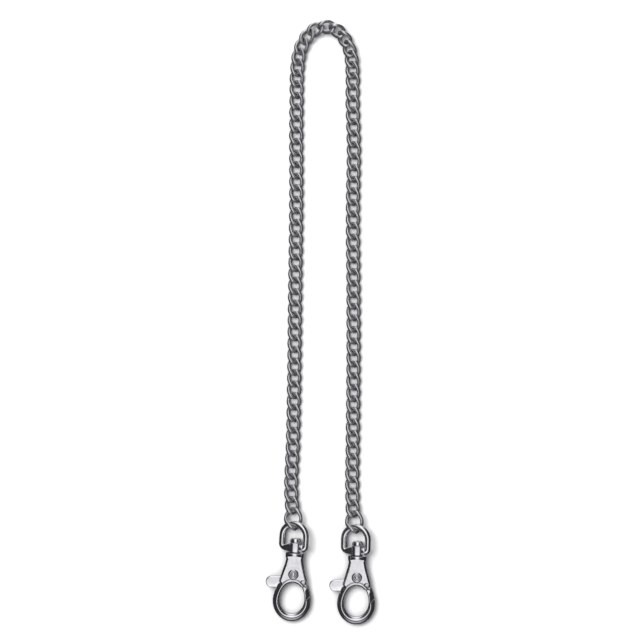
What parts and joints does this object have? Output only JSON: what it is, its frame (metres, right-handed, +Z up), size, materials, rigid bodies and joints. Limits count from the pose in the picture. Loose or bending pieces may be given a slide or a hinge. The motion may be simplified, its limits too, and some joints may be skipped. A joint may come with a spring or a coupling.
{
  "type": "wallet chain",
  "caption": "Curb-link wallet chain folded in a U, with a swivel trigger snap hook on each end.",
  "frame": {"origin": "centre of the bounding box's underside, on the table", "axes": "+Y from the hooks towards the fold of the chain, +Z up from the table, +X to the right with the hooks nearest"},
  "size_m": [0.0353, 0.195, 0.0061],
  "materials": {
    "chain_steel": "nickel plated, worn bright on the crowns",
    "hook_nickel": "bright nickel plate over a zinc casting",
    "pin_steel": "plated steel rivet",
    "spring_steel": "plain spring wire"
  },
  "bodies": {
    "fold_middle": {"fold_link_middle": "chain_steel"},
    "fold_left": {"fold_link_left": "chain_steel"},
    "fold_right": {"fold_link_right": "chain_steel"},
    "left_hook": {"left_hook_body": "hook_nickel", "left_swivel_rivet": "hook_nickel", "left_pivot_pin": "pin_steel", "left_trigger_spring": "spring_steel"},
    "left_trigger": {"left_trigger": "hook_nickel"},
    "left_bow": {"left_swivel_bow": "hook_nickel"},
    "left_end": {"left_end_link": "chain_steel"},
    "right_hook": {"right_hook_body": "hook_nickel", "right_swivel_rivet": "hook_nickel", "right_pivot_pin": "pin_steel", "right_trigger_spring": "spring_steel"},
    "right_trigger": {"right_trigger": "hook_nickel"},
    "right_bow": {"right_swivel_bow": "hook_nickel"},
    "right_end": {"right_end_link": "chain_steel"},
    "left_chain_01": {"left_chain_links_01": "chain_steel"},
    "left_chain_02": {"left_chain_links_02": "chain_steel"},
    "left_chain_03": {"left_chain_links_03": "chain_steel"},
    "left_chain_04": {"left_chain_links_04": "chain_steel"},
    "left_chain_05": {"left_chain_links_05": "chain_steel"},
    "left_chain_06": {"left_chain_links_06": "chain_steel"},
    "left_chain_07": {"left_chain_links_07": "chain_steel"},
    "left_chain_08": {"left_chain_links_08": "chain_steel"},
    "left_chain_09": {"left_chain_links_09": "chain_steel"},
    "left_chain_10": {"left_chain_links_10": "chain_steel"},
    "left_chain_11": {"left_chain_links_11": "chain_steel"},
    "left_chain_12": {"left_chain_links_12": "chain_steel"},
    "left_chain_13": {"left_chain_links_13": "chain_steel"},
    "left_chain_14": {"left_chain_links_14": "chain_steel"},
    "left_chain_15": {"left_chain_links_15": "chain_steel"},
    "left_chain_16": {"left_chain_links_16": "chain_steel"},
    "left_chain_17": {"left_chain_links_17": "chain_steel"},
    "left_chain_18": {"left_chain_links_18": "chain_steel"},
    "left_chain_19": {"left_chain_links_19": "chain_steel"},
    "left_chain_20": {"left_chain_links_20": "chain_steel"},
    "left_chain_21": {"left_chain_links_21": "chain_steel"},
    "right_chain_01": {"right_chain_links_01": "chain_steel"},
    "right_chain_02": {"right_chain_links_02": "chain_steel"},
    "right_chain_03": {"right_chain_links_03": "chain_steel"},
    "right_chain_04": {"right_chain_links_04": "chain_steel"},
    "right_chain_05": {"right_chain_links_05": "chain_steel"},
    "right_chain_06": {"right_chain_links_06": "chain_steel"},
    "right_chain_07": {"right_chain_links_07": "chain_steel"},
    "right_chain_08": {"right_chain_links_08": "chain_steel"},
    "right_chain_09": {"right_chain_links_09": "chain_steel"},
    "right_chain_10": {"right_chain_links_10": "chain_steel"},
    "right_chain_11": {"right_chain_links_11": "chain_steel"},
    "right_chain_12": {"right_chain_links_12": "chain_steel"},
    "right_chain_13": {"right_chain_links_13": "chain_steel"},
    "right_chain_14": {"right_chain_links_14": "chain_steel"},
    "right_chain_15": {"right_chain_links_15": "chain_steel"},
    "right_chain_16": {"right_chain_links_16": "chain_steel"},
    "right_chain_17": {"right_chain_links_17": "chain_steel"},
    "right_chain_18": {"right_chain_links_18": "chain_steel"},
    "right_chain_19": {"right_chain_links_19": "chain_steel"},
    "right_chain_20": {"right_chain_links_20": "chain_steel"},
    "right_chain_21": {"right_chain_links_21": "chain_steel"}
  },
  "joints": [
    {"name": "left_trigger_pull", "type": "hinge", "parent": "left_hook", "child": "left_trigger", "pos_m": [-0.0086, -0.08099, 0.0027], "axis": [0.0046, 0.0696, -0.9976], "range_deg": [0, 20], "stiffness_Nm_per_rad": 0.006, "springref_deg": -20.05},
    {"name": "right_trigger_pull", "type": "hinge", "parent": "right_hook", "child": "right_trigger", "pos_m": [0.01179, -0.082, 0.0027], "axis": [0.0017, 0.0697, -0.9976], "range_deg": [0, 20], "stiffness_Nm_per_rad": 0.006, "springref_deg": -20.05},
    {"name": "left_hook_swivel", "type": "hinge", "parent": "left_bow", "child": "left_hook", "pos_m": [-0.00814, -0.07412, 0.00318], "axis": [0.0661, 0.9954, 0.0698], "continuous": true},
    {"name": "right_hook_swivel", "type": "hinge", "parent": "right_bow", "child": "right_hook", "pos_m": [0.01196, -0.07512, 0.00318], "axis": [0.0244, 0.9973, 0.0698], "continuous": true},
    {"name": "left_bow_swing", "type": "hinge", "parent": "left_end", "child": "left_bow", "pos_m": [-0.00753, -0.06496, 0.00382], "axis": [0.936, -0.0861, 0.3412], "range_deg": [-32, 38]},
    {"name": "right_bow_swing", "type": "hinge", "parent": "right_end", "child": "right_bow", "pos_m": [0.01218, -0.06595, 0.00382], "axis": [0.9388, -0.0468, 0.3412], "range_deg": [-32, 38]},
    {"name": "left_end_link_swing", "type": "hinge", "parent": "left_chain_21", "child": "left_end", "pos_m": [-0.00893, -0.06077, 0.00244], "axis": [0.995, 0.0995, 0], "range_deg": [-14, 22]},
    {"name": "right_end_link_swing", "type": "hinge", "parent": "right_chain_21", "child": "right_end", "pos_m": [0.01071, -0.0618, 0.00244], "axis": [0.9929, 0.1191, 0], "range_deg": [-14, 22]},
    {"name": "left_chain_hinge_21", "type": "hinge", "parent": "left_chain_20", "child": "left_chain_21", "pos_m": [-0.00933, -0.05345, 0.00143], "axis": [0.709, -0.0422, -0.704], "range_deg": [-24, 24]},
    {"name": "right_chain_hinge_21", "type": "hinge", "parent": "right_chain_20", "child": "right_chain_21", "pos_m": [0.01039, -0.05447, 0.00144], "axis": [-0.7058, -0.0799, -0.7039], "range_deg": [-24, 24]},
    {"name": "left_chain_hinge_20", "type": "hinge", "parent": "left_chain_19", "child": "left_chain_20", "pos_m": [-0.0091, -0.046, 0.00128], "axis": [0.7063, -0.0329, 0.7071], "range_deg": [-24, 24]},
    {"name": "right_chain_hinge_20", "type": "hinge", "parent": "right_chain_19", "child": "right_chain_20", "pos_m": [0.0104, -0.04702, 0.00127], "axis": [-0.707, 0.0107, 0.7071], "range_deg": [-24, 24]},
    {"name": "left_chain_hinge_19", "type": "hinge", "parent": "left_chain_18", "child": "left_chain_19", "pos_m": [-0.00878, -0.03854, 0.00131], "axis": [-0.7067, 0.0246, 0.7071], "range_deg": [-24, 24]},
    {"name": "right_chain_hinge_19", "type": "hinge", "parent": "right_chain_18", "child": "right_chain_19", "pos_m": [0.01052, -0.03956, 0.00131], "axis": [0.707, -0.0111, 0.7071], "range_deg": [-24, 24]},
    {"name": "left_chain_hinge_18", "type": "hinge", "parent": "left_chain_17", "child": "left_chain_18", "pos_m": [-0.00861, -0.03109, 0.00131], "axis": [-0.707, 0.0136, -0.7071], "range_deg": [-24, 24]},
    {"name": "right_chain_hinge_18", "type": "hinge", "parent": "right_chain_17", "child": "right_chain_18", "pos_m": [0.01062, -0.0321, 0.00131], "axis": [0.7071, -0.0089, -0.7071], "range_deg": [-24, 24]},
    {"name": "left_chain_hinge_17", "type": "hinge", "parent": "left_chain_16", "child": "left_chain_17", "pos_m": [-0.00847, -0.02363, 0.00131], "axis": [0.707, -0.013, -0.7071], "range_deg": [-24, 24]},
    {"name": "right_chain_hinge_17", "type": "hinge", "parent": "right_chain_16", "child": "right_chain_17", "pos_m": [0.01069, -0.02464, 0.00131], "axis": [-0.7071, 0.0067, -0.7071], "range_deg": [-24, 24]},
    {"name": "left_chain_hinge_16", "type": "hinge", "parent": "left_chain_15", "child": "left_chain_16", "pos_m": [-0.00836, -0.01617, 0.00131], "axis": [0.707, -0.0096, 0.7071], "range_deg": [-24, 24]},
    {"name": "right_chain_hinge_16", "type": "hinge", "parent": "right_chain_15", "child": "right_chain_16", "pos_m": [0.01074, -0.01718, 0.00131], "axis": [-0.7071, 0.0039, 0.7071], "range_deg": [-24, 24]},
    {"name": "left_chain_hinge_15", "type": "hinge", "parent": "left_chain_14", "child": "left_chain_15", "pos_m": [-0.00828, -0.00871, 0.00131], "axis": [-0.7071, 0.0073, 0.7071], "range_deg": [-24, 24]},
    {"name": "right_chain_hinge_15", "type": "hinge", "parent": "right_chain_14", "child": "right_chain_15", "pos_m": [0.01076, -0.00972, 0.00131], "axis": [0.7071, -0.0017, 0.7071], "range_deg": [-24, 24]},
    {"name": "left_chain_hinge_14", "type": "hinge", "parent": "left_chain_13", "child": "left_chain_14", "pos_m": [-0.00821, -0.00125, 0.00131], "axis": [-0.7071, 0.0067, -0.7071], "range_deg": [-24, 24]},
    {"name": "right_chain_hinge_14", "type": "hinge", "parent": "right_chain_13", "child": "right_chain_14", "pos_m": [0.01077, -0.00226, 0.00131], "axis": [0.7071, -0.0001, -0.7071], "range_deg": [-24, 24]},
    {"name": "left_chain_hinge_13", "type": "hinge", "parent": "left_chain_12", "child": "left_chain_13", "pos_m": [-0.00813, 0.00621, 0.00131], "axis": [0.7071, -0.0076, -0.7071], "range_deg": [-24, 24]},
    {"name": "right_chain_hinge_13", "type": "hinge", "parent": "right_chain_12", "child": "right_chain_13", "pos_m": [0.01076, 0.0052, 0.00131], "axis": [-0.7071, -0.0008, -0.7071], "range_deg": [-24, 24]},
    {"name": "left_chain_hinge_12", "type": "hinge", "parent": "left_chain_11", "child": "left_chain_12", "pos_m": [-0.00804, 0.01367, 0.00131], "axis": [0.707, -0.0092, 0.7071], "range_deg": [-24, 24]},
    {"name": "right_chain_hinge_12", "type": "hinge", "parent": "right_chain_11", "child": "right_chain_12", "pos_m": [0.01073, 0.01266, 0.00131], "axis": [-0.7071, -0.0041, 0.7071], "range_deg": [-24, 24]},
    {"name": "left_chain_hinge_11", "type": "hinge", "parent": "left_chain_10", "child": "left_chain_11", "pos_m": [-0.00794, 0.02113, 0.00131], "axis": [-0.707, 0.0096, 0.7071], "range_deg": [-24, 24]},
    {"name": "right_chain_hinge_11", "type": "hinge", "parent": "right_chain_10", "child": "right_chain_11", "pos_m": [0.01066, 0.02012, 0.00131], "axis": [0.7071, 0.0072, 0.7071], "range_deg": [-24, 24]},
    {"name": "left_chain_hinge_10", "type": "hinge", "parent": "left_chain_09", "child": "left_chain_10", "pos_m": [-0.00784, 0.02859, 0.00131], "axis": [-0.707, 0.0089, -0.7071], "range_deg": [-24, 24]},
    {"name": "right_chain_hinge_10", "type": "hinge", "parent": "right_chain_09", "child": "right_chain_10", "pos_m": [0.01059, 0.02758, 0.00131], "axis": [0.7071, 0.0062, -0.7071], "range_deg": [-24, 24]},
    {"name": "left_chain_hinge_09", "type": "hinge", "parent": "left_chain_08", "child": "left_chain_09", "pos_m": [-0.00776, 0.03605, 0.00131], "axis": [0.7071, -0.0072, -0.7071], "range_deg": [-24, 24]},
    {"name": "right_chain_hinge_09", "type": "hinge", "parent": "right_chain_08", "child": "right_chain_09", "pos_m": [0.01057, 0.03504, 0.00131], "axis": [-0.7071, -0.0009, -0.7071], "range_deg": [-24, 24]},
    {"name": "left_chain_hinge_08", "type": "hinge", "parent": "left_chain_07", "child": "left_chain_08", "pos_m": [-0.00771, 0.04351, 0.00131], "axis": [0.7071, -0.0031, 0.7071], "range_deg": [-24, 24]},
    {"name": "right_chain_hinge_08", "type": "hinge", "parent": "right_chain_07", "child": "right_chain_08", "pos_m": [0.01064, 0.0425, 0.00131], "axis": [-0.707, 0.01, 0.7071], "range_deg": [-24, 24]},
    {"name": "left_chain_hinge_07", "type": "hinge", "parent": "left_chain_06", "child": "left_chain_07", "pos_m": [-0.00772, 0.05097, 0.00131], "axis": [-0.7071, -0.0014, 0.7071], "range_deg": [-24, 24]},
    {"name": "right_chain_hinge_07", "type": "hinge", "parent": "right_chain_06", "child": "right_chain_07", "pos_m": [0.0108, 0.04995, 0.00131], "axis": [0.7069, -0.0162, 0.7071], "range_deg": [-24, 24]},
    {"name": "left_chain_hinge_06", "type": "hinge", "parent": "left_chain_05", "child": "left_chain_06", "pos_m": [-0.00773, 0.05843, 0.00131], "axis": [-0.7071, -0.0011, -0.7071], "range_deg": [-24, 24]},
    {"name": "right_chain_hinge_06", "type": "hinge", "parent": "right_chain_05", "child": "right_chain_06", "pos_m": [0.01083, 0.05741, 0.00131], "axis": [0.7071, 0.0028, -0.7071], "range_deg": [-24, 24]},
    {"name": "left_chain_hinge_05", "type": "hinge", "parent": "left_chain_04", "child": "left_chain_05", "pos_m": [-0.0077, 0.06589, 0.00131], "axis": [0.7071, -0.0038, -0.7071], "range_deg": [-24, 24]},
    {"name": "right_chain_hinge_05", "type": "hinge", "parent": "right_chain_04", "child": "right_chain_05", "pos_m": [0.01064, 0.06487, 0.0013], "axis": [-0.7067, -0.0236, -0.7071], "range_deg": [-24, 24]},
    {"name": "left_chain_hinge_04", "type": "hinge", "parent": "left_chain_03", "child": "left_chain_04", "pos_m": [-0.00762, 0.07335, 0.0013], "axis": [0.707, -0.0117, 0.7071], "range_deg": [-24, 24]},
    {"name": "right_chain_hinge_04", "type": "hinge", "parent": "right_chain_03", "child": "right_chain_04", "pos_m": [0.01047, 0.07233, 0.00131], "axis": [-0.707, -0.0148, 0.7071], "range_deg": [-24, 24]},
    {"name": "left_chain_hinge_03", "type": "hinge", "parent": "left_chain_02", "child": "left_chain_03", "pos_m": [-0.00744, 0.08054, 0.0013], "axis": [-0.7068, 0.0222, 0.7071], "range_deg": [-24, 24]},
    {"name": "right_chain_hinge_03", "type": "hinge", "parent": "right_chain_02", "child": "right_chain_03", "pos_m": [0.01047, 0.0797, 0.00132], "axis": [0.7071, -0.0037, 0.7071], "range_deg": [-18, 24]},
    {"name": "left_chain_hinge_02", "type": "hinge", "parent": "left_chain_01", "child": "left_chain_02", "pos_m": [-0.00644, 0.08755, 0.00148], "axis": [-0.559, 0.1314, -0.8187], "range_deg": [-24, 24]},
    {"name": "right_chain_hinge_02", "type": "hinge", "parent": "right_chain_01", "child": "right_chain_02", "pos_m": [0.00974, 0.08674, 0.00165], "axis": [0.8964, 0.1359, -0.4218], "range_deg": [-16, 24]},
    {"name": "left_chain_hinge_01", "type": "hinge", "parent": "fold_left", "child": "left_chain_01", "pos_m": [-0.00278, 0.09341, 0.00197], "axis": [0.6707, -0.4729, -0.5714], "range_deg": [-12, 22]},
    {"name": "right_chain_hinge_01", "type": "hinge", "parent": "fold_right", "child": "right_chain_01", "pos_m": [0.00654, 0.0929, 0.00219], "axis": [-0.2638, -0.0727, -0.9618], "range_deg": [-22, 14]},
    {"name": "left_fold_hinge", "type": "hinge", "parent": "fold_middle", "child": "fold_left", "pos_m": [0.00027, 0.0949, 0.00236], "axis": [0.3955, -0.5946, -0.7], "range_deg": [-12, 12]},
    {"name": "right_fold_hinge", "type": "hinge", "parent": "fold_middle", "child": "fold_right", "pos_m": [0.00365, 0.09472, 0.00246], "axis": [-0.4982, -0.8278, 0.2579], "range_deg": [-12, 12]}
  ]
}
